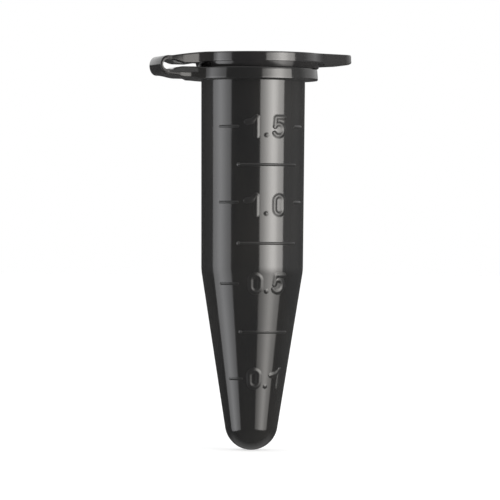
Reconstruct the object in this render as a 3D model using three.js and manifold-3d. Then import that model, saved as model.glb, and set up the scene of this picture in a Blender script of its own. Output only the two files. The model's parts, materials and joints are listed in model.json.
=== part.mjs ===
// Microcentrifuge tube, 1.5 mL size, with a snap lid on a living hinge.
//
// Frame: millimetres, +Z up along the tube, origin at the outside of the conical tip.
// The hinge is on the -X side, the thumb tab on the +X side, the graduated face looks to -Y.
// The lid is modelled shut. The strap of the hinge is cut into short rigid links, each pivoting
// near the strap's mid-thickness line, so that opening the lid unrolls the strap at its own length.

import * as THREE from 'three';
import { mergeVertices } from 'three/addons/utils/BufferGeometryUtils.js';
import Module from 'manifold-3d';

const wasm = await Module();
wasm.setup();

const DEG = Math.PI / 180;
const ROUND_SEGMENTS = 72;

// Tube wall
const TIP_RADIUS = 2.72;
const CONE_HALF_ANGLE = 8.96 * DEG;
const CONE_TOP_Z = 18.5;
const CONE_TOP_RADIUS = 5.24;
const BODY_TOP_Z = 38.05;
const BODY_TOP_RADIUS = 5.35;
const BORE_TIP_Z = 0.9;
const BORE_TIP_RADIUS = 1.85;
const BORE_CONE_TOP_RADIUS = 4.4;
const BORE_RADIUS = 4.45;

// Rim collar
const COLLAR_TOP_Z = 39.25;
const COLLAR_RADIUS = 6.67;
const COLLAR_DRAFT = 0.1;
const COLLAR_EDGE = 0.12;
const MOUTH_CHAMFER = 0.22;

// Lid plate, seen from above a disc that stands a little towards the tab
const LID_CENTRE_X = 0.47;
const LID_RADIUS = 6.45;
const LID_UNDERSIDE_Z = 39.32;
const PLATE_BOTTOM_Z = 39.79;
const LID_TOP_Z = 40.84;
const LID_EDGE = 0.14;
const STEP_RADIUS = 6.12;
const STEP_TOP_RADIUS = 6.34;

// Thumb tab
const TAB_BOTTOM_Z = 39.72;
const TAB_TOP_Z = 40.82;
const TAB_END_CENTRE_X = 8.33;
const TAB_END_RADIUS = 2.2;
const TAB_TAPER = 24 * DEG;
const TAB_FILLET_RADIUS = 2;

// Sealing plug, a hollow skirt
const PLUG_BOTTOM_Z = 35.8;
const PLUG_BEAD_Z = 38.2;
const PLUG_BEAD_RADIUS = 4.38;
const PLUG_TIP_RADIUS = 3.9;
const PLUG_BORE_RADIUS = 3.3;

// Living hinge: the strap bends round an axis parallel to Y
const STRAP_WIDTH = 4.5;
const BEND_X = -9.75;
const BEND_Z = 39.49;
const BEND_INNER_RADIUS = 0.5;
const WEB_THICKNESS = 0.28;
const ROOT_EXTRA_THICKNESS = 0.39;
const TIP_EXTRA_THICKNESS = 0.19;
const PIVOT_COUNT = 4;
const TURN_PER_PIVOT = 180 / PIVOT_COUNT * DEG;
const PIVOT_HALF_GAP = 0.02;
const END_CUT_ANGLE = 5 * DEG;
const ROOT_TONGUE_BOTTOM_Z = 38.2;
const ROOT_TONGUE_TOP_Z = 39.31;
const TIP_TONGUE_BOTTOM_Z = 39.67;
const STRAP_END_X = -9.35;
const STRAP_END_GAP = 0.04;

// Graduations: raised ribs, each [height on the tube, short tick or long line]
const RIB_HEIGHT = 0.34;
const RIB_RELIEF = 0.1;
const RIB_DEPTH_IN_WALL = 0.3;
const TICK_HEIGHTS = [33.2, 25.46, 17.16, 7.4];
const TICK_FROM = -58 * DEG;
const TICK_TO = -32 * DEG;
const LINE_HEIGHTS = [29.3, 21.27, 12.2];
const LINE_FROM = -37 * DEG;
const LINE_TO = 39 * DEG;

const TOUCHING_GAP = 0.02;

const tubePlastic = new THREE.MeshStandardMaterial({ color: 0x2a2a2c, roughness: 0.22, metalness: 0 });
const lidPlastic = new THREE.MeshStandardMaterial({ color: 0x29292b, roughness: 0.25, metalness: 0 });
const hingePlastic = new THREE.MeshStandardMaterial({ color: 0x303032, roughness: 0.3, metalness: 0 });

// ---- solids ---------------------------------------------------------------------------------

function toSolid(geometry) {
  const bare = geometry.clone();
  bare.deleteAttribute('normal');
  bare.deleteAttribute('uv');
  const merged = mergeVertices(bare, 1e-4);
  const index = merged.index.array;
  const triangles = [];
  for (let i = 0; i < index.length; i += 3) {
    const [a, b, c] = [index[i], index[i + 1], index[i + 2]];
    if (a !== b && b !== c && c !== a) triangles.push(a, b, c);
  }
  return new wasm.Manifold(new wasm.Mesh({
    numProp: 3,
    vertProperties: new Float32Array(merged.attributes.position.array),
    triVerts: new Uint32Array(triangles),
  }));
}

function toGeometry(solid) {
  const { vertProperties, triVerts } = solid.getMesh();
  const geometry = new THREE.BufferGeometry();
  geometry.setAttribute('position', new THREE.BufferAttribute(vertProperties, 3));
  geometry.setIndex(new THREE.BufferAttribute(triVerts, 1));
  return geometry;
}

function named(name, geometry, material) {
  const mesh = new THREE.Mesh(geometry, material);
  mesh.name = name;
  return mesh;
}

// A solid of revolution about Z. Its profile is [radius, z] points, anticlockwise in that plane.
function turned(profile) {
  const points = profile.map(([r, z]) => new THREE.Vector2(r, z));
  return new THREE.LatheGeometry(points, ROUND_SEGMENTS).rotateX(Math.PI / 2);
}

function closedRing(profile) {
  return turned([...profile, profile[0]]);
}

// A side view, [x, z] points, given the strap's width along Y.
function acrossStrap(profile) {
  const outline = new THREE.Shape(profile.map(([x, z]) => new THREE.Vector2(x, z)));
  const geometry = new THREE.ExtrudeGeometry(outline, { depth: STRAP_WIDTH, bevelEnabled: false });
  return geometry.rotateX(Math.PI / 2).translate(0, STRAP_WIDTH / 2, 0);
}

function roundPost(radius, x, bottom, top) {
  const post = turned([[0, bottom], [radius, bottom], [radius, top], [0, top]]);
  return toSolid(post.translate(x, 0, 0));
}

// ---- tube -----------------------------------------------------------------------------------

function outerRadius(z) {
  if (z >= CONE_TOP_Z) {
    const rise = (z - CONE_TOP_Z) / (BODY_TOP_Z - CONE_TOP_Z);
    return CONE_TOP_RADIUS + rise * (BODY_TOP_RADIUS - CONE_TOP_RADIUS);
  }
  return CONE_TOP_RADIUS - (CONE_TOP_Z - z) * Math.tan(CONE_HALF_ANGLE);
}

// A rounded end from the axis to where it is tangent to the cone.
function roundedEnd(radius, bottom, steps) {
  const points = [];
  for (let i = 0; i <= steps; i += 1) {
    const angle = (90 * DEG - CONE_HALF_ANGLE) * i / steps;
    points.push([radius * Math.sin(angle), bottom + radius * (1 - Math.cos(angle))]);
  }
  return points;
}

// A raised rib on the wall, from one azimuth to another. Azimuth 0 faces -Y, positive to +X.
function wallRib(z, from, to) {
  const radius = outerRadius(z);
  const outline = new THREE.Shape();
  outline.absarc(0, 0, radius + RIB_RELIEF, from - 90 * DEG, to - 90 * DEG, false);
  outline.absarc(0, 0, radius - RIB_DEPTH_IN_WALL, to - 90 * DEG, from - 90 * DEG, true);
  const settings = { depth: RIB_HEIGHT, bevelEnabled: false, curveSegments: 10 };
  return toSolid(new THREE.ExtrudeGeometry(outline, settings).translate(0, 0, z - RIB_HEIGHT / 2));
}

function tubeBody() {
  const outside = [
    ...roundedEnd(TIP_RADIUS, 0, 7),
    [CONE_TOP_RADIUS, CONE_TOP_Z],
    [BODY_TOP_RADIUS, BODY_TOP_Z],
    [BODY_TOP_RADIUS, COLLAR_TOP_Z],
  ];
  const inside = [
    ...roundedEnd(BORE_TIP_RADIUS, BORE_TIP_Z, 5),
    [BORE_CONE_TOP_RADIUS, CONE_TOP_Z],
    [BORE_RADIUS, COLLAR_TOP_Z - 2 * MOUTH_CHAMFER],
    [BORE_RADIUS + MOUTH_CHAMFER, COLLAR_TOP_Z],
  ];
  let solid = toSolid(turned([...outside, ...inside.reverse()]));
  TICK_HEIGHTS.forEach((z) => { solid = solid.add(wallRib(z, TICK_FROM, TICK_TO)); });
  LINE_HEIGHTS.forEach((z) => { solid = solid.add(wallRib(z, LINE_FROM, LINE_TO)); });
  return toGeometry(solid);
}

function rimCollar() {
  const inner = BODY_TOP_RADIUS + TOUCHING_GAP;
  return closedRing([
    [inner, BODY_TOP_Z],
    [COLLAR_RADIUS, BODY_TOP_Z],
    [COLLAR_RADIUS - COLLAR_DRAFT, COLLAR_TOP_Z - COLLAR_EDGE],
    [COLLAR_RADIUS - COLLAR_DRAFT - COLLAR_EDGE, COLLAR_TOP_Z],
    [inner, COLLAR_TOP_Z],
  ]);
}

// ---- lid ------------------------------------------------------------------------------------

function lidDisc() {
  return turned([
    [0, LID_UNDERSIDE_Z],
    [STEP_RADIUS, LID_UNDERSIDE_Z],
    [STEP_TOP_RADIUS, PLATE_BOTTOM_Z],
    [LID_RADIUS - LID_EDGE / 2, PLATE_BOTTOM_Z],
    [LID_RADIUS, PLATE_BOTTOM_Z + LID_EDGE],
    [LID_RADIUS, LID_TOP_Z - LID_EDGE],
    [LID_RADIUS - LID_EDGE, LID_TOP_Z],
    [0, LID_TOP_Z],
  ]).translate(LID_CENTRE_X, 0, 0);
}

// Seen from above: a round nose, two tapered sides, and a hollow fillet from each side to the disc.
function tabOutline() {
  const reach = LID_RADIUS + TAB_FILLET_RADIUS;
  const sideOffset = TAB_END_CENTRE_X * Math.sin(TAB_TAPER) + TAB_END_RADIUS;
  const across = sideOffset + TAB_FILLET_RADIUS - LID_CENTRE_X * Math.sin(TAB_TAPER);
  const meets = TAB_TAPER + Math.acos(across / reach);
  const filletX = LID_CENTRE_X + reach * Math.sin(meets);
  const filletY = reach * Math.cos(meets);
  const rootX = LID_CENTRE_X + (LID_RADIUS - 0.5) * Math.sin(meets);
  const rootY = (LID_RADIUS - 0.5) * Math.cos(meets);
  const quarter = Math.PI / 2;
  const outline = new THREE.Shape();
  outline.moveTo(rootX, -rootY);
  outline.absarc(filletX, -filletY, TAB_FILLET_RADIUS, quarter + meets, quarter + TAB_TAPER, true);
  outline.absarc(TAB_END_CENTRE_X, 0, TAB_END_RADIUS, TAB_TAPER - quarter, quarter - TAB_TAPER, false);
  outline.absarc(filletX, filletY, TAB_FILLET_RADIUS, -quarter - TAB_TAPER, -quarter - meets, true);
  outline.lineTo(rootX, rootY);
  return outline;
}

function thumbTab() {
  const settings = { depth: TAB_TOP_Z - TAB_BOTTOM_Z, bevelEnabled: false, curveSegments: 8 };
  const slab = new THREE.ExtrudeGeometry(tabOutline(), settings).translate(0, 0, TAB_BOTTOM_Z);
  const disc = roundPost(LID_RADIUS + TOUCHING_GAP, LID_CENTRE_X, LID_UNDERSIDE_Z, LID_TOP_Z + 1);
  return toGeometry(toSolid(slab).subtract(disc));
}

function sealingPlug() {
  const leadInZ = PLUG_BOTTOM_Z + 0.35;
  return closedRing([
    [PLUG_BORE_RADIUS, PLUG_BOTTOM_Z],
    [PLUG_TIP_RADIUS - 0.2, PLUG_BOTTOM_Z],
    [PLUG_TIP_RADIUS, leadInZ],
    [PLUG_BEAD_RADIUS - 0.05, PLUG_BEAD_Z - 0.45],
    [PLUG_BEAD_RADIUS, PLUG_BEAD_Z],
    [PLUG_BEAD_RADIUS - 0.08, PLUG_BEAD_Z + 0.5],
    [PLUG_BEAD_RADIUS - 0.1, LID_UNDERSIDE_Z],
    [PLUG_BORE_RADIUS, LID_UNDERSIDE_Z],
  ]);
}

// ---- living hinge ---------------------------------------------------------------------------

// The bend is swept by an angle: 0 points down to the root tongue, 180 degrees up to the lid.
function bendPoint(radius, angle) {
  return [BEND_X - radius * Math.sin(angle), BEND_Z - radius * Math.cos(angle)];
}

function bendOuterRadius(angle) {
  const towardsRoot = Math.max(0, Math.cos(angle)) ** 1.5;
  const towardsTip = Math.max(0, -Math.cos(angle)) ** 1.5;
  return BEND_INNER_RADIUS + WEB_THICKNESS
    + ROOT_EXTRA_THICKNESS * towardsRoot + TIP_EXTRA_THICKNESS * towardsTip;
}

function bendMidRadius(angle) {
  return (BEND_INNER_RADIUS + bendOuterRadius(angle)) / 2;
}

function pivotAngle(number) {
  return (number + 0.5) * TURN_PER_PIVOT;
}

// The end of a link at a pivot, from its inner to its outer corner. The outer half is cut back
// by half of the pivot's turn, so neighbours never meet as the strap straightens.
function linkEnd(number, side) {
  const angle = pivotAngle(number);
  const mid = bendMidRadius(angle);
  const outer = bendOuterRadius(angle);
  const cutBack = (outer - mid) * Math.tan(TURN_PER_PIVOT / 2) + PIVOT_HALF_GAP;
  return [
    bendPoint(BEND_INNER_RADIUS, angle + side * PIVOT_HALF_GAP / BEND_INNER_RADIUS),
    bendPoint(mid, angle + side * PIVOT_HALF_GAP / mid),
    bendPoint(outer, angle + side * cutBack / outer),
  ];
}

function bendArc(radiusAt, from, to, steps) {
  const points = [];
  for (let i = 1; i < steps; i += 1) {
    const angle = from + (to - from) * i / steps;
    points.push(bendPoint(radiusAt(angle), angle));
  }
  return points;
}

function hingeLink(number) {
  const from = pivotAngle(number);
  const to = pivotAngle(number + 1);
  return acrossStrap([
    ...linkEnd(number, 1),
    ...bendArc(bendOuterRadius, from + END_CUT_ANGLE, to - END_CUT_ANGLE, 4),
    ...linkEnd(number + 1, -1).reverse(),
    ...bendArc(() => BEND_INNER_RADIUS, to, from, 4),
  ]);
}

// The last link ends in a short straight stretch that meets the lid's tongue.
function lastHingeLink() {
  const from = pivotAngle(PIVOT_COUNT - 1);
  return acrossStrap([
    ...linkEnd(PIVOT_COUNT - 1, 1),
    bendPoint(bendOuterRadius(Math.PI), Math.PI),
    [STRAP_END_X, BEND_Z + bendOuterRadius(Math.PI)],
    [STRAP_END_X, BEND_Z + BEND_INNER_RADIUS],
    bendPoint(BEND_INNER_RADIUS, Math.PI),
    ...bendArc(() => BEND_INNER_RADIUS, Math.PI, from, 3),
  ]);
}

// The tongue that joins the collar to the strap
function hingeRoot() {
  const profile = [
    [-COLLAR_RADIUS + 1, ROOT_TONGUE_TOP_Z],
    [-8.4, ROOT_TONGUE_TOP_Z],
    [-9.2, BEND_Z - BEND_INNER_RADIUS],
    bendPoint(BEND_INNER_RADIUS, 0),
    ...linkEnd(0, -1),
    bendPoint(bendOuterRadius(0), 0),
    [-8.2, ROOT_TONGUE_BOTTOM_Z],
    [-COLLAR_RADIUS + 1, ROOT_TONGUE_BOTTOM_Z],
  ];
  const collar = roundPost(COLLAR_RADIUS + TOUCHING_GAP, 0, BODY_TOP_Z - 1, COLLAR_TOP_Z + 1);
  return toGeometry(toSolid(acrossStrap(profile)).subtract(collar));
}

// The tongue that joins the strap to the lid. Its top rises gently from the bend to the plate.
function hingeTip() {
  const start = STRAP_END_X + STRAP_END_GAP;
  const profile = [
    [-LID_RADIUS + 2, LID_TOP_Z],
    [-LID_RADIUS - 0.1, LID_TOP_Z - 0.05],
    [-8.35, LID_TOP_Z - 0.25],
    [start, BEND_Z + bendOuterRadius(Math.PI)],
    [start, BEND_Z + BEND_INNER_RADIUS],
    [-8.4, TIP_TONGUE_BOTTOM_Z],
    [-LID_RADIUS + 2, TIP_TONGUE_BOTTOM_Z],
  ];
  const disc = roundPost(LID_RADIUS + TOUCHING_GAP, LID_CENTRE_X, LID_UNDERSIDE_Z, LID_TOP_Z + 1);
  return toGeometry(toSolid(acrossStrap(profile)).subtract(disc));
}

// ---- assembly -------------------------------------------------------------------------------

const tube = new THREE.Group();
tube.add(named('tube_body', tubeBody(), tubePlastic));
tube.add(named('rim_collar', rimCollar(), tubePlastic));
tube.add(named('hinge_root', hingeRoot(), tubePlastic));

const strap = new THREE.Group();
for (let number = 0; number < PIVOT_COUNT - 1; number += 1) {
  strap.add(named(`hinge_link_${number + 1}`, hingeLink(number), hingePlastic));
}
strap.add(named(`hinge_link_${PIVOT_COUNT}`, lastHingeLink(), hingePlastic));

const lid = new THREE.Group();
lid.add(named('hinge_tip', hingeTip(), lidPlastic));
lid.add(named('lid_disc', lidDisc(), lidPlastic));
lid.add(named('thumb_tab', thumbTab(), lidPlastic));
lid.add(named('sealing_plug', sealingPlug(), lidPlastic));

const microcentrifugeTube = new THREE.Group();
microcentrifugeTube.add(tube, strap, lid);

export default microcentrifugeTube;
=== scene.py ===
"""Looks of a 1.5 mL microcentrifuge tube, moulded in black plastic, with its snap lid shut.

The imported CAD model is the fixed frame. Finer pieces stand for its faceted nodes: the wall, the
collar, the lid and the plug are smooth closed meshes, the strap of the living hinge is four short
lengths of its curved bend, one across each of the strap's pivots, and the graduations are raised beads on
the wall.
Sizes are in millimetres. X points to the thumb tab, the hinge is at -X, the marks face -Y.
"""
import json
import math

import bmesh
import bpy
from mathutils import Matrix, Vector


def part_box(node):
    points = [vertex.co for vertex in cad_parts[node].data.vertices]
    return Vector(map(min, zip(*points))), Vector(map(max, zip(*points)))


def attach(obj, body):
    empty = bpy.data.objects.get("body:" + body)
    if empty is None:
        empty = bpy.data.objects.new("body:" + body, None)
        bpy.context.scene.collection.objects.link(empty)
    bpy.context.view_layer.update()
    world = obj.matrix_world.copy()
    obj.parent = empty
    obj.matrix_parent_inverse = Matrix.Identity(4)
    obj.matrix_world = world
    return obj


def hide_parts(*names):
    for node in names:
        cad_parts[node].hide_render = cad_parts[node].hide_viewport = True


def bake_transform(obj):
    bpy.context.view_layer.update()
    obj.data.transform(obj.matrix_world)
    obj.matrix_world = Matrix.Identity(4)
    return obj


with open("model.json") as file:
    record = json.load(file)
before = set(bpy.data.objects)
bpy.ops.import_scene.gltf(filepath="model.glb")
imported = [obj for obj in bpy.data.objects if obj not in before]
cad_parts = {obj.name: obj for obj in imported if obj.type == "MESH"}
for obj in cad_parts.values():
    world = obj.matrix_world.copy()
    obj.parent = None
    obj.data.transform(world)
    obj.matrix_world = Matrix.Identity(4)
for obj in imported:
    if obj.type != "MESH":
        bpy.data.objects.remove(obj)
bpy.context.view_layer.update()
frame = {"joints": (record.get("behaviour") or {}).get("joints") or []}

MM = 0.001
ROUND_SEGMENTS = 192
SHARP_ANGLE = 38


def corners_mm(node):
    low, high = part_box(node)
    return low / MM, high / MM


# ---- places, from the frame -----------------------------------------------------------------

_, body_high = corners_mm("tube_body")
collar_low, collar_high = corners_mm("rim_collar")
disc_low, disc_high = corners_mm("lid_disc")
tab_low, tab_high = corners_mm("thumb_tab")
plug_low, plug_high = corners_mm("sealing_plug")
root_low, root_high = corners_mm("hinge_root")
tip_low, _ = corners_mm("hinge_tip")
_, last_link_high = corners_mm("hinge_link_4")
hinge_z = next(j["pos_m"][2] for j in frame["joints"] if j["name"] == "lid_hinge") / MM

BODY_RADIUS = body_high.x
COLLAR_BOTTOM = collar_low.z
COLLAR_TOP = collar_high.z
COLLAR_RADIUS = collar_high.x
LID_CENTRE = (disc_low.x + disc_high.x) / 2
LID_RADIUS = (disc_high.x - disc_low.x) / 2
LID_TOP = disc_high.z
STEP_BOTTOM = disc_low.z
TAB_BOTTOM = tab_low.z
TAB_TOP = tab_high.z
PLUG_BOTTOM = plug_low.z
PLUG_RADIUS = plug_high.x
STRAP_WIDTH = root_high.y - root_low.y

# ---- sizes of the fine shapes ---------------------------------------------------------------

TIP_RADIUS = 2.72
CONE_HALF_ANGLE = 8.96
CONE_TOP = 18.5
CONE_TOP_RADIUS = 5.24
CONE_BREAK_FILLET = 6.0
COLLAR_FLARE = 0.12
WALL_INTO_COLLAR = 0.02
WALL_LIP = 0.06
BORE_TIP = 0.9
BORE_TIP_RADIUS = 1.85
BORE_CONE_TOP_RADIUS = 4.4
BORE_RADIUS = 4.45
MOUTH_CHAMFER = 0.22
MOUTH_FILLET = 0.4
COLLAR_DRAFT = 0.07
COLLAR_EDGE = 0.1
PLATE_RINGS = 40
EDGE_STEPS = 5
SIDE_SHARES = (0.15, 0.3, 0.45, 0.55, 0.65, 0.8, 0.9)

PLATE_BOTTOM = 39.83
LID_EDGE = 0.09
LID_DRAFT = 0.035
STEP_DROP = 0.04
STEP_RADIUS = 6.27
STEP_TOP_RADIUS = 6.44
STEP_EDGE = 0.03
STEP_INTO_PLATE = 0.1
PANEL_RADIUS = 5.0
PANEL_DEPTH = 0.05
PANEL_RAMP = 0.12
PANEL_LOOP_GAP = 0.02
PANEL_INNER_LOOPS = (4.4, 3, 1.5)
TAB_END_RADIUS = 2.2
TAB_END_CENTRE = tab_high.x - TAB_END_RADIUS
TAB_TAPER = 24
TAB_FILLET = 4.0
TAB_ROOT_DROP = 0.15
TAB_NOSE_LIFT = 0.24
PLUG_BORE = 3.3
PLUG_TIP_RADIUS = 3.9
PLUG_BEAD = 38.2
PLUG_LIP = 0.18
PLUG_FILLET = 0.5

BEND_X = -9.75
BEND_Z = hinge_z
BEND_INNER = 0.5
WEB_THICKNESS = 0.28
ROOT_EXTRA = 0.25
TIP_EXTRA = 0.15
STRAP_EDGE = 0.05
ROOT_FILLET = 2.7
ROOT_NARROWS_FROM = -8.45
TIP_FILLET = 2.6
TIP_NARROWS_FROM = -8.15
TONGUE_LEAN = 0.2
TONGUE_LEAN_SHARE = 0.55
TONGUE_LEAN_FADE = 0.9
TONGUE_SIDE_STEPS = 12
TONGUE_END_STEPS = 8
TIP_FALL_FROM = -5.6
TIP_FALL_POWER = 1.4
TIP_TO_BEND_FROM = -8.0
TONGUE_TAPER = 5
TONGUE_NARROWING = 8
STRAP_END = (last_link_high.x + tip_low.x) / 2
ROOT_TONGUE_TOP = root_high.z
ROOT_TONGUE_BOTTOM = root_low.z
TIP_TONGUE_BOTTOM = tip_low.z
STRAP_PIECES = 4
STRAP_STEPS = 16
STRAP_END_STEPS = 4
SWELL_POWER = 2.5
TURN_INSET = 0.27

# Changes along X: where each starts, and its run, to -X on the tongues and to +X on the tab
COLLAR_TONGUE = (-6.2, 0.8)
COLLAR_UNDERCUT = (-6.45, 0.5)
ROOT_FALL = (-8.2, 1.1)
ROOT_UNDERSIDE = (-7.8, 1.9)
TIP_UNDERCUT = (-5.9, 0.9)
TAB_TOP_STEP = (6.6, 0.8)
TAB_UNDERSIDE = (6.4, 0.4)
TAB_THINS = (7.0, 2.6)
TAB_NOSE = (9.3, 1.05)

MARK_ROOT = 0.15
HUMP_STEPS = 8
DOME_SEGMENTS = 28
# Strokes and dots: width and height of the smooth hump
DIGIT_STROKE = (0.66, 0.058)
TICK_STROKE = (0.32, 0.042)
FAR_TICK_STROKE = (0.4, 0.03)
LINE_STROKE = (0.32, 0.045)
TICK_HEIGHTS = (33.2, 25.46, 17.16, 7.4)
TICK_SPAN = (-56, -34)
FAR_TICK_HEIGHTS = (33.2, 25.46)
FAR_TICK_SPAN = (37, 50)
LINE_HEIGHTS = (29.3, 21.27, 12.2)
LINE_SPAN = (-32.5, 37)
LINE_DOT = (0.46, 0.09)
DIGIT_WIDTH = 1.7
POINT_DOT = (0.6, 0.05)
POINT_LIFT = 0.06
# Each label: text, height of its middle, azimuth of its left end, height of its digits,
# from digit to digit, from the left end to the point
LABELS = (
    ("1.5", 33.2, -26, 2.54, 2.84, 2.25),
    ("1.0", 25.2, -26, 2.54, 2.84, 2.25),
    ("0.5", 17.17, -22.6, 2.34, 2.52, 2.0),
    ("0.1", 7.42, -26.5, 2.34, 2.46, 2.05),
)


# ---- camera ---------------------------------------------------------------------------------

CAMERA_TURN = math.radians(-17)
CAMERA_LEAN = math.radians(0.33)
CAMERA_DISTANCE = 0.45
CAMERA_LENS = 314.3
LOOK_AT_Z = 0.02059
LOOK_AT_SIDE = -0.000227

towards_camera = Vector((math.sin(CAMERA_TURN), -math.cos(CAMERA_TURN), 0))
camera_right = Vector((math.cos(CAMERA_TURN), math.sin(CAMERA_TURN), 0))
look_at = Vector((0, 0, LOOK_AT_Z)) + camera_right * LOOK_AT_SIDE

camera = bpy.data.objects.new("camera", bpy.data.cameras.new("camera"))
bpy.context.scene.collection.objects.link(camera)
camera.data.sensor_width = 36
camera.data.lens = CAMERA_LENS
camera.data.clip_start = 0.01
upright = Matrix.Rotation(CAMERA_TURN, 4, "Z") @ Matrix.Rotation(math.radians(90), 4, "X")
camera.matrix_world = (
    Matrix.Translation(look_at + towards_camera * CAMERA_DISTANCE)
    @ upright
    @ Matrix.Rotation(CAMERA_LEAN, 4, "Z")
)
bpy.context.scene.camera = camera
bpy.context.scene.view_settings.view_transform = "Standard"


# ---- materials ------------------------------------------------------------------------------

def noise_node(tree, coordinate, stretch, scale, detail):
    """Noise over the piece's own coordinates, squeezed or stretched along each axis."""
    mapping = tree.nodes.new("ShaderNodeMapping")
    mapping.inputs["Scale"].default_value = stretch
    tree.links.new(coordinate, mapping.inputs["Vector"])
    noise = tree.nodes.new("ShaderNodeTexNoise")
    noise.inputs["Scale"].default_value = scale
    noise.inputs["Detail"].default_value = detail
    tree.links.new(mapping.outputs["Vector"], noise.inputs["Vector"])
    return noise.outputs["Fac"]


def spread(tree, value, low, high, from_low=0.3, from_high=0.7):
    """A value mapped from one range to another; the first is as a rule that of a noise."""
    ranged = tree.nodes.new("ShaderNodeMapRange")
    ranged.inputs["From Min"].default_value = from_low
    ranged.inputs["From Max"].default_value = from_high
    ranged.inputs["To Min"].default_value = low
    ranged.inputs["To Max"].default_value = high
    tree.links.new(value, ranged.inputs["Value"])
    return ranged.outputs["Result"]


def bump_node(tree, height, distance, strength, below=None):
    bump = tree.nodes.new("ShaderNodeBump")
    bump.inputs["Distance"].default_value = distance
    bump.inputs["Strength"].default_value = strength
    tree.links.new(height, bump.inputs["Height"])
    if below is not None:
        tree.links.new(below, bump.inputs["Normal"])
    return bump.outputs["Normal"]


def moulded_plastic(name, dark, light, roughness, peel_strength):
    """Carbon-black polypropylene: melt-flow shading, fine orange peel and draw streaks."""
    material = bpy.data.materials.new(name)
    material.use_nodes = True
    tree = material.node_tree
    shader = tree.nodes["Principled BSDF"]
    shader.inputs["IOR"].default_value = 1.49
    place = tree.nodes.new("ShaderNodeTexCoord").outputs["Object"]

    flow = noise_node(tree, place, (1, 1, 0.35), 260, 3)
    tones = tree.nodes.new("ShaderNodeValToRGB")
    tones.color_ramp.elements[0].position = 0.36
    tones.color_ramp.elements[0].color = (*dark, 1)
    tones.color_ramp.elements[1].position = 0.66
    tones.color_ramp.elements[1].color = (*light, 1)
    tree.links.new(flow, tones.inputs["Fac"])
    tree.links.new(tones.outputs["Color"], shader.inputs["Base Color"])

    streaks = noise_node(tree, place, (1, 1, 0.04), 2600, 2)
    streaked = spread(tree, streaks, roughness - 0.02, roughness + 0.03)
    tree.links.new(streaked, shader.inputs["Roughness"])

    peel = noise_node(tree, place, (1, 1, 0.7), 2200, 2)
    wave = noise_node(tree, place, (1, 1, 0.15), 420, 1)
    bent = bump_node(tree, wave, 0.00006, 0.12)
    bent = bump_node(tree, peel, 0.00001, peel_strength, bent)
    tree.links.new(bent, shader.inputs["Normal"])
    return material


# The darkest and the lightest tone of each plastic
TUBE_TONES = ((0.0148, 0.0148, 0.015), (0.0196, 0.0191, 0.0185))
LID_TONES = ((0.0165, 0.016, 0.0165), (0.0215, 0.0206, 0.0205))
HINGE_TONES = ((0.0148, 0.0146, 0.0148), (0.0198, 0.0192, 0.0188))
MATERIALS = {
    "tube_plastic": moulded_plastic("tube_plastic", *TUBE_TONES, 0.1, 0.07),
    "raised_marks": moulded_plastic("raised_marks", *TUBE_TONES, 0.3, 0.12),
    "lid_plastic": moulded_plastic("lid_plastic", *LID_TONES, 0.11, 0.1),
    "hinge_plastic": moulded_plastic("hinge_plastic", *HINGE_TONES, 0.13, 0.08),
}


# ---- mesh helpers ---------------------------------------------------------------------------

def eased(t):
    """From 0 to 1 with a soft start and end."""
    t = min(1.0, max(0.0, t))
    return t * t * (3 - 2 * t)


def leftward(x, start, run):
    """How far a change that starts at X = start and runs to -X has come, from 0 to 1."""
    return eased((start - x) / run)


def rightward(x, start, run):
    """The same for a change that runs to +X."""
    return eased((x - start) / run)


def arc(centre, radius, start, end, steps):
    """Points on an arc, with both ends; the angles are in degrees."""
    angles = [math.radians(start + (end - start) * i / steps) for i in range(steps + 1)]
    return [(centre[0] + radius * math.cos(a), centre[1] + radius * math.sin(a)) for a in angles]


def rounded(corners, closed=False, steps=6):
    """A line through (r, z, fillet) corners, each fillet an arc."""
    points = []
    last = len(corners) - 1
    for i, (r, z, fillet) in enumerate(corners):
        here = Vector((r, z))
        if not fillet or (not closed and i in (0, last)):
            points.append((r, z))
            continue
        before = (Vector(corners[i - 1][:2]) - here).normalized()
        after = (Vector(corners[(i + 1) % len(corners)][:2]) - here).normalized()
        half = before.angle(after) / 2
        centre = here + (before + after).normalized() * (fillet / math.sin(half))
        start = here + before * (fillet / math.tan(half)) - centre
        end = here + after * (fillet / math.tan(half)) - centre
        angle = math.atan2(start.y, start.x)
        turn = (math.atan2(end.y, end.x) - angle + math.pi) % (2 * math.pi) - math.pi
        points += arc(centre, fillet, math.degrees(angle), math.degrees(angle + turn), steps)
    return points


def skinned(loops, cyclic=False, capped=False, poles=(None, None)):
    """Points and faces of a skin over loops of equally many points."""
    count = len(loops[0])
    points = [p for loop in loops for p in loop]
    faces = []
    rows = len(loops)
    for row in range(rows if cyclic else rows - 1):
        low = row * count
        high = (row + 1) % rows * count
        for k in range(count):
            n = (k + 1) % count
            faces.append((low + k, low + n, high + n, high + k))
    if capped:
        faces.append(tuple(range(count)))
        faces.append(tuple(range((rows - 1) * count, rows * count)))
    for pole, start in zip(poles, (0, (rows - 1) * count)):
        if pole is not None:
            points.append(pole)
            faces += [(start + k, start + (k + 1) % count, len(points) - 1) for k in range(count)]
    return points, faces


def turned(profile, centre_x=0.0, closed=False):
    """A surface of revolution. A profile that isn't closed starts and ends on the axis."""
    poles = (None, None)
    if not closed:
        poles = ((centre_x, 0, profile[0][1]), (centre_x, 0, profile[-1][1]))
        profile = profile[1:-1]
    angles = [2 * math.pi * k / ROUND_SEGMENTS for k in range(ROUND_SEGMENTS)]
    loops = [[(centre_x + r * math.cos(a), r * math.sin(a), z) for a in angles] for r, z in profile]
    return skinned(loops, cyclic=closed, poles=poles)


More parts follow.
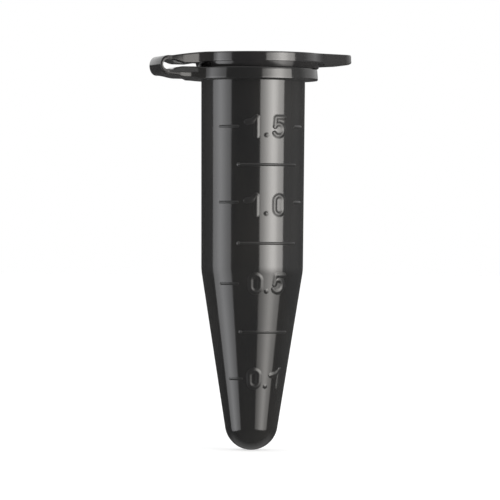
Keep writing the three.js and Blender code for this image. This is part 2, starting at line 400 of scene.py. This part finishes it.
def make_piece(name, shape, slot, cut_x=None, finish=None):
    """A smooth closed piece in the frame's metres, in its slot's plastic or another finish of it.

    cut_x trims off what lies beyond it, to -X.
    """
    points, faces = shape
    mesh = bpy.data.meshes.new(name)
    mesh.from_pydata([Vector(p) * MM for p in points], [], faces)
    work = bmesh.new()
    work.from_mesh(mesh)
    if cut_x is not None:
        everything = work.verts[:] + work.edges[:] + work.faces[:]
        cut = bmesh.ops.bisect_plane(
            work, geom=everything, plane_co=(cut_x * MM, 0, 0), plane_no=(-1, 0, 0), clear_outer=True)
        rim = [e for e in cut["geom_cut"] if isinstance(e, bmesh.types.BMEdge)]
        bmesh.ops.edgeloop_fill(work, edges=rim)
    bmesh.ops.recalc_face_normals(work, faces=work.faces[:])
    work.to_mesh(mesh)
    work.free()
    mesh.polygons.foreach_set("use_smooth", [True] * len(mesh.polygons))
    mesh.set_sharp_from_angle(angle=math.radians(SHARP_ANGLE))
    mesh.materials.append(MATERIALS[finish or slot])
    piece = bpy.data.objects.new(name, mesh)
    bpy.context.scene.collection.objects.link(piece)
    return piece


# ---- tube wall ------------------------------------------------------------------------------

def outer_radius(z):
    if z >= CONE_TOP:
        rise = (z - CONE_TOP) / (COLLAR_BOTTOM - CONE_TOP)
        return CONE_TOP_RADIUS + rise * (BODY_RADIUS - CONE_TOP_RADIUS)
    return CONE_TOP_RADIUS - (CONE_TOP - z) * math.tan(math.radians(CONE_HALF_ANGLE))


def tube_shell():
    tip = arc((0, TIP_RADIUS), TIP_RADIUS, -90, -CONE_HALF_ANGLE, 28)
    bore_tip = arc((0, BORE_TIP + BORE_TIP_RADIUS), BORE_TIP_RADIUS, -90, -CONE_HALF_ANGLE, 18)
    shoulder = COLLAR_BOTTOM + WALL_INTO_COLLAR
    rim = shoulder + WALL_LIP
    outside = rounded([
        (*tip[-1], 0),
        (CONE_TOP_RADIUS, CONE_TOP, CONE_BREAK_FILLET),
        (BODY_RADIUS, shoulder, COLLAR_FLARE),
        (BODY_RADIUS + 2 * COLLAR_FLARE, shoulder, 0),
    ], steps=10)
    inside = rounded([
        (BORE_RADIUS, rim, 0),
        (BORE_CONE_TOP_RADIUS, CONE_TOP, CONE_BREAK_FILLET),
        (*bore_tip[-1], 0),
    ], steps=8)
    lip = [(BODY_RADIUS + 2 * COLLAR_FLARE, rim)]
    return turned(tip[:-1] + outside + lip + inside + bore_tip[-2::-1])


# ---- plates: the collar and the lid ---------------------------------------------------------

def tongue_sides(centre_x, radius, fillet_radius, narrows_from):
    """The +Y half of a disc's tongue: a hollow fillet off the disc, then a side that narrows twice."""
    half_width = STRAP_WIDTH / 2
    end_x = BEND_X - 1
    kink_y = half_width + (narrows_from - BEND_X) * math.tan(math.radians(TONGUE_NARROWING))
    taper = math.radians(TONGUE_TAPER)
    across = kink_y + fillet_radius / math.cos(taper) + (centre_x - narrows_from) * math.tan(taper)
    reach = radius + fillet_radius
    turn = math.asin(across * math.cos(taper) / reach) - taper
    fillet_centre = (centre_x - reach * math.cos(turn), reach * math.sin(turn))
    from_disc = -math.degrees(turn)
    fillet = arc(fillet_centre, fillet_radius, from_disc, -90 + TONGUE_TAPER, 24)
    corners = [fillet[-1], (narrows_from, kink_y), (BEND_X, half_width), (end_x, half_width)]
    side = []
    for (x0, y0), (x1, y1) in zip(corners, corners[1:]):
        for i in range(1, TONGUE_SIDE_STEPS + 1):
            side.append((x0 + (x1 - x0) * i / TONGUE_SIDE_STEPS, y0 + (y1 - y0) * i / TONGUE_SIDE_STEPS))
    end = [(end_x, half_width * (1 - i / TONGUE_END_STEPS)) for i in range(1, TONGUE_END_STEPS)]
    return 180 + from_disc, fillet + side + end + [(end_x, 0)]


def mirrored(half):
    """A whole outline from its +Y half, which starts and ends on the X axis."""
    return half + [(x, -y) for x, y in half[-2:0:-1]]


def collar_outline():
    meets, tongue = tongue_sides(0, COLLAR_RADIUS, ROOT_FILLET, ROOT_NARROWS_FROM)
    return mirrored(arc((0, 0), COLLAR_RADIUS, 0, meets, 150)[:-1] + tongue)


def lid_outline():
    """A round nose, tapered sides and hollow fillets make the tab; the disc and the tongue follow."""
    reach = LID_RADIUS + TAB_FILLET
    side_offset = TAB_END_CENTRE * math.sin(math.radians(TAB_TAPER)) + TAB_END_RADIUS
    across = side_offset + TAB_FILLET - LID_CENTRE * math.sin(math.radians(TAB_TAPER))
    meets = TAB_TAPER + math.degrees(math.acos(across / reach))
    fillet_x = LID_CENTRE + reach * math.sin(math.radians(meets))
    fillet_y = reach * math.cos(math.radians(meets))
    nose = arc((TAB_END_CENTRE, 0), TAB_END_RADIUS, 0, 90 - TAB_TAPER, 40)
    fillet = arc((fillet_x, fillet_y), TAB_FILLET, -90 - TAB_TAPER, -90 - meets, 20)
    tongue_meets, tongue = tongue_sides(LID_CENTRE, LID_RADIUS, TIP_FILLET, TIP_NARROWS_FROM)
    disc = arc((LID_CENTRE, 0), LID_RADIUS, 90 - meets, tongue_meets, 100)
    return mirrored(nose + fillet + disc[1:-1] + tongue)


def outline_normals(outline):
    """Unit normals of an anticlockwise outline, pointing out."""
    normals = []
    for i in range(len(outline)):
        before = Vector(outline[i - 1])
        after = Vector(outline[(i + 1) % len(outline)])
        along = (after - before).normalized()
        normals.append(Vector((along.y, -along.x)))
    return normals


def plate_loops(outline, centre_x, top, bottom, edge, lean, inner_top, inner_bottom):
    """Loops over a plate, from the middle of its top, round its edge, to the middle of its bottom.

    top, bottom: heights at (x, y). lean: how far the side stands back at x, and at a share of
    the way down from its top.
    inner_top, inner_bottom: radii of the loops nearest the middle.
    """
    normals = outline_normals(outline)
    centre = Vector((centre_x, 0))

    def inset(distance):
        return [Vector(p) - n * distance(p[0]) for p, n in zip(outline, normals)]

    def filled(rim, inner, height, fractions):
        loops = []
        for f in fractions:
            spokes = [q - centre for q in rim]
            points = [centre + spoke.normalized() * inner * (1 - f) + spoke * f for spoke in spokes]
            loops.append([(p.x, p.y, height(p.x, p.y)) for p in points])
        return loops

    shares = [i / PLATE_RINGS for i in range(PLATE_RINGS + 1)]
    loops = filled(inset(lambda x: edge + lean(x, 0)), inner_top, top, shares)
    for step in range(1, EDGE_STEPS + 1):
        angle = math.radians(90 * step / EDGE_STEPS)
        rim = inset(lambda x: edge * (1 - math.sin(angle)) + lean(x, 0))
        loops.append([(q.x, q.y, top(q.x, q.y) - edge * (1 - math.cos(angle))) for q in rim])
    for share in SIDE_SHARES:
        rim = inset(lambda x: lean(x, share))
        loops.append([
            (q.x, q.y, (top(q.x, q.y) - edge) * (1 - share) + (bottom(q.x, q.y) + edge) * share)
            for q in rim])
    for step in range(EDGE_STEPS, 0, -1):
        angle = math.radians(90 * step / EDGE_STEPS)
        rim = inset(lambda x: edge * (1 - math.sin(angle)))
        loops.append([(q.x, q.y, bottom(q.x, q.y) + edge * (1 - math.cos(angle))) for q in rim])
    return loops + filled(inset(lambda x: edge), inner_bottom, bottom, shares[::-1])


def collar_top(x, y):
    tongue = (ROOT_TONGUE_TOP - COLLAR_TOP) * leftward(x, *COLLAR_TONGUE)
    fall = (ROOT_TONGUE_TOP - (BEND_Z - BEND_INNER)) * leftward(x, *ROOT_FALL)
    return COLLAR_TOP + tongue - fall


def collar_bottom(x, y):
    bend_bottom = BEND_Z - bend_outer(0)
    rise = (ROOT_TONGUE_BOTTOM - COLLAR_BOTTOM) * leftward(x, *COLLAR_UNDERCUT)
    return COLLAR_BOTTOM + rise + (bend_bottom - ROOT_TONGUE_BOTTOM) * leftward(x, *ROOT_UNDERSIDE)


def collar_lean(x, share):
    """The disc's side is drafted; the upper half of the tongue's side leans in."""
    on_tongue = leftward(x, *COLLAR_TONGUE)
    disc = COLLAR_DRAFT * (1 - share)
    tongue = TONGUE_LEAN * max(0.0, 1 - share / TONGUE_LEAN_SHARE)
    return disc * (1 - on_tongue) + tongue * on_tongue * rightward(x, BEND_X, TONGUE_LEAN_FADE)


def collar_plate():
    inner_top = BORE_RADIUS + MOUTH_CHAMFER
    loops = plate_loops(
        collar_outline(), 0, collar_top, collar_bottom, COLLAR_EDGE, collar_lean, inner_top, BORE_RADIUS)
    mouth = rounded([
        (BORE_RADIUS, COLLAR_BOTTOM, 0),
        (BORE_RADIUS, COLLAR_TOP - 2 * MOUTH_CHAMFER, MOUTH_FILLET),
        (inner_top, COLLAR_TOP, 0),
    ])
    directions = [Vector(p).normalized() for p in collar_outline()]
    for r, z in mouth[1:-1]:
        loops.append([(d.x * r, d.y * r, z) for d in directions])
    return skinned(loops, cyclic=True)


def lid_top(x, y):
    middle = math.hypot(x - LID_CENTRE, y)
    panel = PANEL_DEPTH * (1 - eased((middle - PANEL_RADIUS + PANEL_RAMP) / PANEL_RAMP))
    tongue_share = max(0.0, (TIP_FALL_FROM - x) / (TIP_FALL_FROM - STRAP_END))
    fall = (LID_TOP - BEND_Z - bend_outer(math.pi)) * min(1.0, tongue_share) ** TIP_FALL_POWER
    tab = (LID_TOP - TAB_TOP) * rightward(x, *TAB_TOP_STEP)
    return LID_TOP - panel - fall - tab


def lid_bottom(x, y):
    bend_run = TIP_TO_BEND_FROM - STRAP_END
    thins_from, thins_over = TAB_THINS
    nose_from, nose_length = TAB_NOSE
    tongue = (TIP_TONGUE_BOTTOM - PLATE_BOTTOM) * leftward(x, *TIP_UNDERCUT)
    to_bend = (BEND_Z + BEND_INNER - TIP_TONGUE_BOTTOM) * leftward(x, TIP_TO_BEND_FROM, bend_run)
    tab = (TAB_BOTTOM - TAB_ROOT_DROP - PLATE_BOTTOM) * rightward(x, *TAB_UNDERSIDE)
    thinning = TAB_ROOT_DROP * min(1.0, max(0.0, (x - thins_from) / thins_over))
    nose = TAB_NOSE_LIFT * max(0.0, (x - nose_from) / nose_length) ** 2
    return PLATE_BOTTOM + tongue + to_bend + tab + thinning + nose


def lid_lean(x, share):
    """The side is drafted, alike all round."""
    return LID_DRAFT * (1 - share)


def lid_plate():
    """The loops are circles over the writing panel and spread out to the outline beyond it."""
    loops = plate_loops(
        lid_outline(), LID_CENTRE, lid_top, lid_bottom, LID_EDGE, lid_lean,
        PANEL_RADIUS + 2 * PANEL_LOOP_GAP, 0.0)
    directions = [(Vector(p) - Vector((LID_CENTRE, 0))).normalized() for p in lid_outline()]
    for r in [PANEL_RADIUS - PANEL_LOOP_GAP * i for i in range(8)] + list(PANEL_INNER_LOOPS):
        circle = [(LID_CENTRE + d.x * r, d.y * r) for d in directions]
        loops.insert(0, [(x, y, lid_top(x, y)) for x, y in circle])
    poles = ((LID_CENTRE, 0, lid_top(LID_CENTRE, 0)), (LID_CENTRE, 0, PLATE_BOTTOM))
    return skinned(loops[:-1], poles=poles)


def lid_step():
    """The lower, narrower part of the lid's disc, whose flat underside closes on the collar."""
    buried = PLATE_BOTTOM + STEP_INTO_PLATE
    profile = rounded([
        (0, STEP_BOTTOM - STEP_DROP, 0),
        (STEP_RADIUS, STEP_BOTTOM - STEP_DROP, STEP_EDGE),
        (STEP_TOP_RADIUS, buried, 0),
        (0, buried, 0),
    ])
    return turned(profile, LID_CENTRE)


def plug_skirt():
    root = STEP_BOTTOM + 0.05
    profile = rounded([
        (PLUG_BORE, PLUG_BOTTOM, PLUG_LIP),
        (PLUG_TIP_RADIUS - 0.15, PLUG_BOTTOM, PLUG_LIP),
        (PLUG_TIP_RADIUS, PLUG_BOTTOM + 0.4, PLUG_FILLET),
        (PLUG_RADIUS, PLUG_BEAD - 0.2, PLUG_FILLET),
        (PLUG_RADIUS - 0.07, PLUG_BEAD + 0.5, PLUG_FILLET),
        (PLUG_RADIUS - 0.1, root, 0),
        (PLUG_BORE + 0.1, root, 0),
    ], closed=True)
    return turned(profile, closed=True)


# ---- living hinge ---------------------------------------------------------------------------

def bend_outer(angle):
    """Outer radius of the bend. Angle 0 is down at the collar's tongue, pi is up at the lid's."""
    towards_root = max(0.0, math.cos(angle)) ** SWELL_POWER
    towards_tip = max(0.0, -math.cos(angle)) ** SWELL_POWER
    return BEND_INNER + WEB_THICKNESS + ROOT_EXTRA * towards_root + TIP_EXTRA * towards_tip


def bend_point(radius, angle):
    """A point of the bend in the XZ plane."""
    return Vector((BEND_X - radius * math.sin(angle), 0, BEND_Z - radius * math.cos(angle)))


def strap_section(angle, beyond=0.0):
    """A rounded rectangle across the strap; beyond slides it on from the end of the bend, to +X."""
    outer = bend_outer(angle)
    half_width = STRAP_WIDTH / 2
    section = rounded([
        (-half_width, BEND_INNER, STRAP_EDGE),
        (half_width, BEND_INNER, STRAP_EDGE),
        (half_width, outer, STRAP_EDGE),
        (-half_width, outer, STRAP_EDGE),
    ], closed=True, steps=5)
    points = []
    for y, radius in section:
        place = bend_point(radius, angle)
        x = place.x + beyond
        widening = (x - BEND_X) * math.tan(math.radians(TONGUE_NARROWING)) / half_width
        points.append((x, y * (1 + widening), place.z))
    return points


def strap_piece(number):
    """One length of the bend, across one pivot, with the points where its turning starts and ends."""
    share = math.pi / STRAP_PIECES
    start = number * share
    loops = [strap_section(start + share * i / STRAP_STEPS) for i in range(STRAP_STEPS + 1)]
    if number == STRAP_PIECES - 1:
        straight = STRAP_END - BEND_X
        steps = range(1, STRAP_END_STEPS + 1)
        loops += [strap_section(math.pi, straight * i / STRAP_END_STEPS) for i in steps]
    inset = share * TURN_INSET
    ends = []
    for angle in (start + inset, start + share - inset):
        ends.append(bend_point((BEND_INNER + bend_outer(angle)) / 2, angle) * MM)
    return skinned(loops, capped=True), ends


# ---- graduations ----------------------------------------------------------------------------

def hump(share):
    """Height share of a smooth hump at a share of the way from its crest to its foot."""
    return (1 + math.cos(math.pi * share)) / 2


def hump_side(size):
    """Places across a hump and heights above the wall, from below its foot up to just off its crest."""
    width, relief = size
    shares = [i / HUMP_STEPS for i in range(HUMP_STEPS, 0, -1)]
    return [(width / 2, -MARK_ROOT)] + [(width / 2 * share, relief * hump(share)) for share in shares]


def mark_section(stroke):
    """Places across a raised stroke and heights above the wall, foot to foot."""
    right = hump_side(stroke)
    crest = (0.0, stroke[1])
    return right + [crest] + [(-u, h) for u, h in right[::-1]]


def on_wall(s, z, radius, height):
    """A point s along the arc of that radius from the -Y line, and at a height above the wall."""
    angle = s / radius
    r = outer_radius(z) + height
    return (r * math.sin(angle), -r * math.cos(angle), z)


def bead(line, radius, stroke, closed=False):
    """A raised stroke along a line of (s, z) points on the wall, with round ends."""
    section = mark_section(stroke)
    width = stroke[0]
    count = len(line)
    stations = []
    for i, (s, z) in enumerate(line):
        before = Vector(line[i - 1] if closed or i else line[0])
        after = Vector(line[(i + 1) % count] if closed or i < count - 1 else line[-1])
        along = (after - before).normalized()
        stations.append((Vector((s, z)), along, 1.0))
    if not closed:
        turns = [math.radians(a) for a in (80, 60, 40, 20)]
        first, last = stations[0], stations[-1]
        head = [(first[0] - first[1] * width / 2 * math.sin(a), first[1], math.cos(a)) for a in turns]
        turns.reverse()
        tail = [(last[0] + last[1] * width / 2 * math.sin(a), last[1], math.cos(a)) for a in turns]
        stations = head + stations + tail
    loops = []
    for place, along, scale in stations:
        across = Vector((along.y, -along.x)) * scale
        lift = min(1.0, 0.25 + scale)
        loop = []
        for u, h in section:
            p = place + across * u
            loop.append(on_wall(p.x, p.y, radius, h * lift if h > 0 else h))
        loops.append(loop)
    return skinned(loops, cyclic=closed, capped=not closed)


def dome(s, z, radius, size):
    """A raised round dot; size is its width and its height."""
    turns = [2 * math.pi * k / DOME_SEGMENTS for k in range(DOME_SEGMENTS)]
    loops = []
    for r, h in hump_side(size):
        loops.append([on_wall(s + r * math.cos(a), z + r * math.sin(a), radius, h) for a in turns])
    return skinned(loops, capped=True)


def fine(line, step=0.06, closed=False):
    """The same line with points close together."""
    points = []
    ends = line[1:] + line[:1] if closed else line[1:]
    for (s0, z0), (s1, z1) in zip(line, ends):
        count = max(1, round(math.hypot(s1 - s0, z1 - z0) / step))
        points += [(s0 + (s1 - s0) * i / count, z0 + (z1 - z0) * i / count) for i in range(count)]
    return points if closed else points + [line[-1]]


def digit_lines(digit, height):
    """Centre lines of a 0, 1 or 5 in a box from 0 to wide and 0 to tall, each with closed or not."""
    wide = DIGIT_WIDTH - DIGIT_STROKE[0]
    tall = height - DIGIT_STROKE[0]
    if digit == "0":
        round_end = wide / 2
        oval = arc((round_end, tall - round_end), round_end, 0, 180, 20)
        oval += arc((round_end, round_end), round_end, 180, 360, 20)
        return [(oval, True)]
    if digit == "1":
        stem = 0.92
        flag = rounded([(-0.1, tall - 0.5, 0), (0.5, tall - 0.38, 0.7), (stem, tall, 0)])
        return [(flag, False), ([(stem, 0), (stem, tall)], False)]
    bowl = 0.6
    neck = (0.04, tall - 0.88)
    top = rounded([(wide, tall, 0), (0.1, tall, 0.1), (*neck, 0)])
    belly = [neck] + arc((wide - bowl, bowl), bowl, 118, -140, 26)
    return [(top, False), (belly, False)]


def label_beads(text, middle, azimuth, height, pitch, point):
    radius = outer_radius(middle)
    left = math.radians(azimuth) * radius
    low = middle - height / 2 + DIGIT_STROKE[0] / 2
    shapes = [dome(left + point, low + POINT_LIFT, radius, POINT_DOT)]
    for column, digit in enumerate((text[0], text[2])):
        start = left + column * pitch + DIGIT_STROKE[0] / 2
        for line, closed in digit_lines(digit, height):
            placed = [(start + s, low + z) for s, z in line]
            shapes.append(bead(fine(placed, closed=closed), radius, DIGIT_STROKE, closed))
    return shapes


def wall_line(z, span, stroke):
    radius = outer_radius(z)
    ends = [(math.radians(a) * radius, z) for a in span]
    return bead(fine(ends, 0.12), radius, stroke)


def graduation_marks():
    shapes = [wall_line(z, TICK_SPAN, TICK_STROKE) for z in TICK_HEIGHTS]
    shapes += [wall_line(z, FAR_TICK_SPAN, FAR_TICK_STROKE) for z in FAR_TICK_HEIGHTS]
    for z in LINE_HEIGHTS:
        radius = outer_radius(z)
        shapes.append(wall_line(z, LINE_SPAN, LINE_STROKE))
        shapes.append(dome(math.radians(LINE_SPAN[0]) * radius, z, radius, LINE_DOT))
    for label in LABELS:
        shapes += label_beads(*label)
    points, faces = [], []
    for shape_points, shape_faces in shapes:
        faces += [tuple(i + len(points) for i in face) for face in shape_faces]
        points += shape_points
    return points, faces


# ---- pieces ---------------------------------------------------------------------------------

wall = make_piece("tube_wall", tube_shell(), "tube_plastic")
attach(wall, "tube")
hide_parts("tube_body")

marks = make_piece("graduation_marks", graduation_marks(), "tube_plastic", finish="raised_marks")
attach(marks, "tube")

collar = make_piece("collar_plate", collar_plate(), "tube_plastic", BEND_X)
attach(collar, "tube")
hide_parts("rim_collar", "hinge_root")

for number in range(STRAP_PIECES):
    shape, (turn_start, turn_end) = strap_piece(number)
    strap = make_piece(f"hinge_strap_{number + 1}", shape, "hinge_plastic")
    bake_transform(strap)
    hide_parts(f"hinge_link_{number + 1}")

lid = make_piece("lid_plate", lid_plate(), "lid_plastic", STRAP_END)
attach(lid, "lid")
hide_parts("hinge_tip", "thumb_tab")

step = make_piece("lid_step", lid_step(), "lid_plastic")
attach(step, "lid")
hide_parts("lid_disc")

plug = make_piece("plug_skirt", plug_skirt(), "lid_plastic")
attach(plug, "lid")
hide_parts("sealing_plug")


# ---- floor, lights and surroundings ---------------------------------------------------------

PANEL_DISTANCE = 0.6
FLOOR_HALF = 3
FLOOR_GREY = 0.6
FLOOR_GLOW = 0.52

# Shades of the panels: place across or up the panel, and share of its light
LEFT_ACROSS = [
    (0, 0.42), (0.12, 0.5), (0.25, 0.62), (0.36, 0.77), (0.47, 0.88), (0.66, 0.72), (0.81, 0.55), (1, 0.4)]
LEFT_UPWARD = [
    (0, 0.85), (0.21, 0.93), (0.58, 0.93), (0.63, 1.0), (0.68, 1.4), (0.73, 1.2), (0.78, 0.62), (1, 0.55)]
LEFT_TINT = (0.975, 0.98, 1.0)
RIGHT_ACROSS = [
    (0, 0.26), (0.16, 0.4), (0.28, 0.57), (0.4, 0.77), (0.51, 0.93), (0.63, 0.83), (0.75, 0.58), (1, 0.37)]
RIGHT_UPWARD = [
    (0, 0.38), (0.2, 0.44), (0.36, 0.9), (0.42, 1.0), (0.46, 0.99), (0.58, 0.86), (0.62, 0.15), (1, 0.1)]
RIGHT_TINT = (1.0, 0.975, 0.94)

# Levels of the surroundings: sine or cosine of the direction, and level
DIM = 0.07
BRIGHT = 0.95
EYE_LEVEL = [
    (-1, DIM), (-0.45, DIM), (-0.3, 0.42), (-0.1, 0.5), (0.1, 0.38), (0.35, 0.34), (0.67, 0.15), (1, DIM)]
FRONT_HIGH = [(-1, 0), (0.5, 0), (0.62, 1), (1, 1)]
BACK_HIGH = [(-1, 0), (0.045, 0), (0.075, 1), (1, 1)]
FRONT_LOW = [(-1, 0.14), (-0.3, DIM), (1, DIM)]
BACK_LOW = [(-1, 0.45), (-0.6, 0.4), (-0.4, 0.1), (-0.25, DIM), (1, DIM)]
BELOW = [(-1, 1), (-0.25, 1), (-0.03, 0), (1, 0)]


def around(azimuth):
    """A level direction, in degrees to the right of the camera's side."""
    a = math.radians(azimuth)
    return towards_camera * math.cos(a) + camera_right * math.sin(a)


def shade_ramp(tree, value, shades):
    """A ramp through (place, share) stops."""
    ramp = tree.nodes.new("ShaderNodeValToRGB")
    stops = ramp.color_ramp.elements
    for i, (position, share) in enumerate(shades):
        stop = stops[i] if i < 2 else stops.new(position)
        stop.position = position
        stop.color = (share, share, share, 1)
    tree.links.new(value, ramp.inputs["Fac"])
    return ramp.outputs["Color"]


def softbox(name, azimuths, elevations, radiance, across, upward, tint):
    """An upright panel that faces the tube, between azimuths and elevations in degrees."""
    middle = (azimuths[0] + azimuths[1]) / 2
    half_angle = math.radians(azimuths[1] - azimuths[0]) / 2
    low, high = (PANEL_DISTANCE * math.tan(math.radians(e)) for e in elevations)
    width = 2 * PANEL_DISTANCE * math.tan(half_angle)
    data = bpy.data.lights.new(name, "AREA")
    data.shape = "RECTANGLE"
    data.size = width
    data.size_y = high - low
    data.energy = radiance * 4 * width * (high - low)
    data.color = tint
    data.use_nodes = True
    tree = data.node_tree
    place = tree.nodes.new("ShaderNodeSeparateXYZ")
    geometry = tree.nodes.new("ShaderNodeNewGeometry")
    tree.links.new(geometry.outputs["Parametric"], place.inputs["Vector"])
    both = tree.nodes.new("ShaderNodeMixRGB")
    both.blend_type = "MULTIPLY"
    both.inputs["Fac"].default_value = 1
    tree.links.new(shade_ramp(tree, place.outputs["X"], across), both.inputs["Color1"])
    tree.links.new(shade_ramp(tree, place.outputs["Y"], upward), both.inputs["Color2"])
    tree.links.new(both.outputs["Color"], tree.nodes["Emission"].inputs["Color"])
    light = bpy.data.objects.new(name, data)
    bpy.context.scene.collection.objects.link(light)
    away = around(middle)
    place_at = away * PANEL_DISTANCE + Vector((0, 0, LOOK_AT_Z + (low + high) / 2))
    facing = away.to_track_quat("Z", "Y").to_matrix().to_4x4()
    light.matrix_world = Matrix.Translation(place_at) @ facing
    light.visible_camera = False


softbox("softbox_left", (-100, -49), (-27, 20), 3.8, LEFT_ACROSS, LEFT_UPWARD, LEFT_TINT)
softbox("softbox_right", (16, 73), (-27, 36), 10.8, RIGHT_ACROSS, RIGHT_UPWARD, RIGHT_TINT)

floor_mesh = bpy.data.meshes.new("floor")
floor_corners = [(x * FLOOR_HALF, y * FLOOR_HALF, 0) for x, y in ((-1, -1), (1, -1), (1, 1), (-1, 1))]
floor_mesh.from_pydata(floor_corners, [], [(0, 1, 2, 3)])
floor = bpy.data.objects.new("floor", floor_mesh)
bpy.context.scene.collection.objects.link(floor)
floor_paint = bpy.data.materials.new("floor_paint")
floor_paint.use_nodes = True
floor_shader = floor_paint.node_tree.nodes["Principled BSDF"]
floor_shader.inputs["Base Color"].default_value = (FLOOR_GREY, FLOOR_GREY, FLOOR_GREY, 1)
floor_shader.inputs["Roughness"].default_value = 0.9
floor_shader.inputs["Emission Color"].default_value = (1, 1, 1, 1)
floor_shader.inputs["Emission Strength"].default_value = FLOOR_GLOW
floor_mesh.materials.append(floor_paint)
floor.visible_glossy = False


def surroundings():
    """White where the camera sees past the object. To the object, a room by fixed directions: dim in
    front and behind, lighter at the sides, bright above, and grey below towards the back.
    """
    world = bpy.data.worlds.new("surroundings")
    bpy.context.scene.world = world
    world.use_nodes = True
    tree = world.node_tree
    backdrop = tree.nodes["Background"]
    backdrop.inputs["Color"].default_value = (1, 1, 1, 1)
    room = tree.nodes.new("ShaderNodeBackground")
    direction = tree.nodes.new("ShaderNodeTexCoord").outputs["Generated"]
    split = tree.nodes.new("ShaderNodeSeparateXYZ")
    tree.links.new(direction, split.inputs["Vector"])

    def along(axis):
        """Cosine of the angle from the axis."""
        dot = tree.nodes.new("ShaderNodeVectorMath")
        dot.operation = "DOT_PRODUCT"
        dot.inputs[1].default_value = tuple(axis)
        tree.links.new(direction, dot.inputs[0])
        return dot.outputs["Value"]

    def mixed(factor, first, second):
        both = tree.nodes.new("ShaderNodeMixRGB")
        tree.links.new(factor, both.inputs["Fac"])
        tree.links.new(first, both.inputs["Color1"])
        tree.links.new(second, both.inputs["Color2"])
        return both.outputs["Color"]

    def on_sphere(value, levels):
        """Levels at sines or cosines from -1 to 1."""
        shares = [((at + 1) / 2, level) for at, level in levels]
        return shade_ramp(tree, spread(tree, value, 0, 1, -1, 1), shares)

    def even(level):
        """One level in every direction."""
        return on_sphere(split.outputs["Z"], [(-1, level), (1, level)])

    behind = along(-towards_camera)
    height = split.outputs["Z"]
    rightness = spread(tree, along(camera_right), 0.6, 1.0, -0.3, 0.3)
    eye_level = mixed(rightness, even(0.0), on_sphere(behind, EYE_LEVEL))
    turned_back = spread(tree, behind, 0, 1, 0.05, 0.35)
    high = mixed(turned_back, on_sphere(height, FRONT_HIGH), on_sphere(height, BACK_HIGH))
    low = mixed(turned_back, on_sphere(height, FRONT_LOW), on_sphere(height, BACK_LOW))
    shade = mixed(on_sphere(height, BELOW), eye_level, low)
    tree.links.new(mixed(high, shade, even(BRIGHT)), room.inputs["Color"])
    seen = tree.nodes.new("ShaderNodeLightPath").outputs["Is Camera Ray"]
    choose = tree.nodes.new("ShaderNodeMixShader")
    tree.links.new(seen, choose.inputs["Fac"])
    tree.links.new(room.outputs["Background"], choose.inputs[1])
    tree.links.new(backdrop.outputs["Background"], choose.inputs[2])
    tree.links.new(choose.outputs["Shader"], tree.nodes["World Output"].inputs["Surface"])


surroundings()
